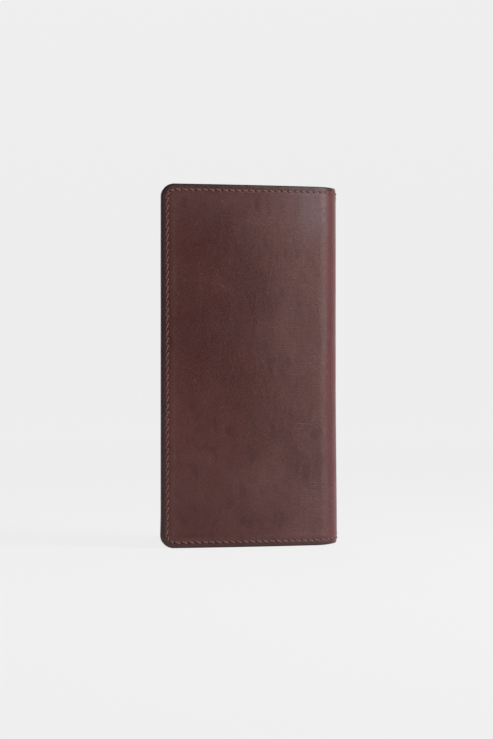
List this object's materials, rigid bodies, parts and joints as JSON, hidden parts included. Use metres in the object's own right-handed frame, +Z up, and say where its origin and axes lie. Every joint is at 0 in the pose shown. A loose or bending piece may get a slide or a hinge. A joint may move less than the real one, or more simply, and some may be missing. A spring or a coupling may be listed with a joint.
{
  "type": "long bifold wallet",
  "caption": "Long leather bifold wallet standing ajar on its short edge, with slip pockets and card slots in both halves and a curved folding spine.",
  "frame": {"origin": "middle of the footprint at the height of the lower short edge, with the wallet standing ajar", "axes": "+Z up along the spine, +X from the free edges towards the spine, +Y from the front half towards the back half"},
  "size_m": [0.0897, 0.0916, 0.19],
  "materials": {
    "cover_leather": "satin",
    "lining_leather": "satin",
    "pocket_leather": "satin",
    "thread": "satin"
  },
  "bodies": {
    "back_half": {"card_row1_back": "pocket_leather", "card_row2_back": "pocket_leather", "card_row3_back": "pocket_leather", "cover_back": "cover_leather", "divider_thread_back": "thread", "edge_thread_back": "thread", "lining_back": "lining_leather", "row1_seam_thread_back": "thread", "row2_seam_thread_back": "thread", "slip_pocket_back": "pocket_leather"},
    "spine": {"cover_spine": "cover_leather", "lining_spine": "lining_leather", "spine_thread_top": "thread", "spine_thread_bottom": "thread"},
    "front_half": {"card_row1_front": "pocket_leather", "card_row2_front": "pocket_leather", "card_row3_front": "pocket_leather", "cover_front": "cover_leather", "divider_thread_front": "thread", "edge_thread_front": "thread", "lining_front": "lining_leather", "row1_seam_thread_front": "thread", "row2_seam_thread_front": "thread", "slip_pocket_front": "pocket_leather"}
  },
  "joints": [
    {"name": "back_fold", "type": "hinge", "parent": "back_half", "child": "spine", "pos_m": [0.04075, 0.0099, 0], "axis": [0, 0, 1], "range_deg": [-24, 67.5]},
    {"name": "front_fold", "type": "hinge", "parent": "spine", "child": "front_half", "pos_m": [0.04075, -0.0099, 0], "axis": [0, 0, 1], "range_deg": [-24, 67.5]}
  ],
  "couplings": [
    {"joint": "front_fold", "follows": "back_fold", "ratio": 1}
  ]
}
